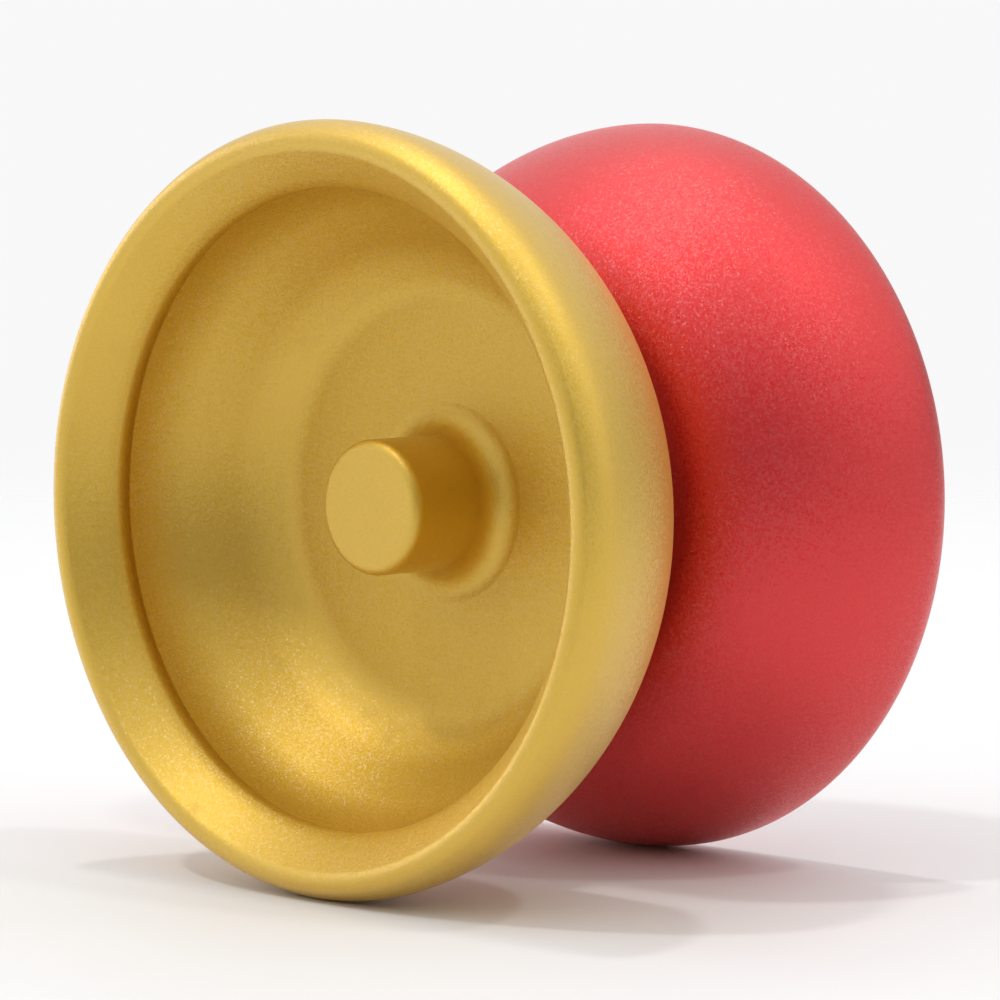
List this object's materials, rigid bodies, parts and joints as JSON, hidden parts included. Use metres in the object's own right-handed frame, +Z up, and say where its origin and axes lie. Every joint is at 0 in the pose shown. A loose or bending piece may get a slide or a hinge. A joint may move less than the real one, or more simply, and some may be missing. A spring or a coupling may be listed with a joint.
{
  "type": "yo-yo",
  "caption": "Two flared metal discs with open cups and a central hub each, joined by a threaded axle through a ball bearing, with silicone pads beside the string gap.",
  "frame": {"origin": "centre of the ball bearing, on the axle's axis, half way between the two halves", "axes": "+Y runs along the axle from the gold half to the red half, +Z is up as the yo-yo stands on its two rims, +X is to the right of someone facing the gold cup"},
  "size_m": [0.052, 0.037, 0.052],
  "materials": {
    "gold_anodised": "bead-blasted, satin gold anodised aluminium",
    "red_anodised": "bead-blasted, satin red anodised aluminium",
    "silicone": "matt off-white silicone",
    "axle_steel": "plain steel set screw with a rolled thread",
    "bearing_steel": "ground and polished bearing steel",
    "shield_steel": "stamped steel shield with a fine turned grain",
    "cage_steel": "pressed steel, satin"
  },
  "bodies": {
    "gold_side": {"gold_half": "gold_anodised", "gold_response_pad": "silicone", "axle": "axle_steel"},
    "bearing_core": {"inner_race": "bearing_steel"},
    "red_side": {"red_half": "red_anodised", "red_response_pad": "silicone"},
    "bearing_shell": {"outer_race": "bearing_steel", "front_shield": "shield_steel", "rear_shield": "shield_steel", "front_snap_ring": "bearing_steel", "rear_snap_ring": "bearing_steel"},
    "cage": {"ball_cage": "cage_steel"},
    "ball_1": {"ball_1": "bearing_steel"},
    "ball_2": {"ball_2": "bearing_steel"},
    "ball_3": {"ball_3": "bearing_steel"},
    "ball_4": {"ball_4": "bearing_steel"},
    "ball_5": {"ball_5": "bearing_steel"},
    "ball_6": {"ball_6": "bearing_steel"},
    "ball_7": {"ball_7": "bearing_steel"},
    "ball_8": {"ball_8": "bearing_steel"}
  },
  "joints": [
    {"name": "unscrew_travel", "type": "slide", "parent": "gold_side", "child": "bearing_core", "axis": [0, 1, 0], "range_m": [0, 0.00456]},
    {"name": "unscrew_turn", "type": "hinge", "parent": "bearing_core", "child": "red_side", "pos_m": [0, 0, 0], "axis": [0, 1, 0], "range_deg": [0, 2340]},
    {"name": "bearing_spin", "type": "hinge", "parent": "bearing_core", "child": "bearing_shell", "pos_m": [0, 0, 0], "axis": [0, 1, 0], "continuous": true},
    {"name": "cage_orbit", "type": "hinge", "parent": "bearing_core", "child": "cage", "pos_m": [0, 0, 0], "axis": [0, 1, 0], "continuous": true},
    {"name": "ball_1_roll", "type": "hinge", "parent": "cage", "child": "ball_1", "pos_m": [0.00476, 0, 0], "axis": [0, 1, 0], "continuous": true},
    {"name": "ball_2_roll", "type": "hinge", "parent": "cage", "child": "ball_2", "pos_m": [0.00337, 0, -0.00337], "axis": [0, 1, 0], "continuous": true},
    {"name": "ball_3_roll", "type": "hinge", "parent": "cage", "child": "ball_3", "pos_m": [0, 0, -0.00476], "axis": [0, 1, 0], "continuous": true},
    {"name": "ball_4_roll", "type": "hinge", "parent": "cage", "child": "ball_4", "pos_m": [-0.00337, 0, -0.00337], "axis": [0, 1, 0], "continuous": true},
    {"name": "ball_5_roll", "type": "hinge", "parent": "cage", "child": "ball_5", "pos_m": [-0.00476, 0, 0], "axis": [0, 1, 0], "continuous": true},
    {"name": "ball_6_roll", "type": "hinge", "parent": "cage", "child": "ball_6", "pos_m": [-0.00337, 0, 0.00337], "axis": [0, 1, 0], "continuous": true},
    {"name": "ball_7_roll", "type": "hinge", "parent": "cage", "child": "ball_7", "pos_m": [0, 0, 0.00476], "axis": [0, 1, 0], "continuous": true},
    {"name": "ball_8_roll", "type": "hinge", "parent": "cage", "child": "ball_8", "pos_m": [0.00337, 0, 0.00337], "axis": [0, 1, 0], "continuous": true}
  ],
  "couplings": [
    {"joint": "unscrew_travel", "follows": "unscrew_turn", "m_per_rad": 0.00011141},
    {"joint": "cage_orbit", "follows": "bearing_spin", "ratio": 0.60415},
    {"joint": "ball_1_roll", "follows": "bearing_spin", "ratio": 2.2963},
    {"joint": "ball_2_roll", "follows": "bearing_spin", "ratio": 2.2963},
    {"joint": "ball_3_roll", "follows": "bearing_spin", "ratio": 2.2963},
    {"joint": "ball_4_roll", "follows": "bearing_spin", "ratio": 2.2963},
    {"joint": "ball_5_roll", "follows": "bearing_spin", "ratio": 2.2963},
    {"joint": "ball_6_roll", "follows": "bearing_spin", "ratio": 2.2963},
    {"joint": "ball_7_roll", "follows": "bearing_spin", "ratio": 2.2963},
    {"joint": "ball_8_roll", "follows": "bearing_spin", "ratio": 2.2963}
  ]
}
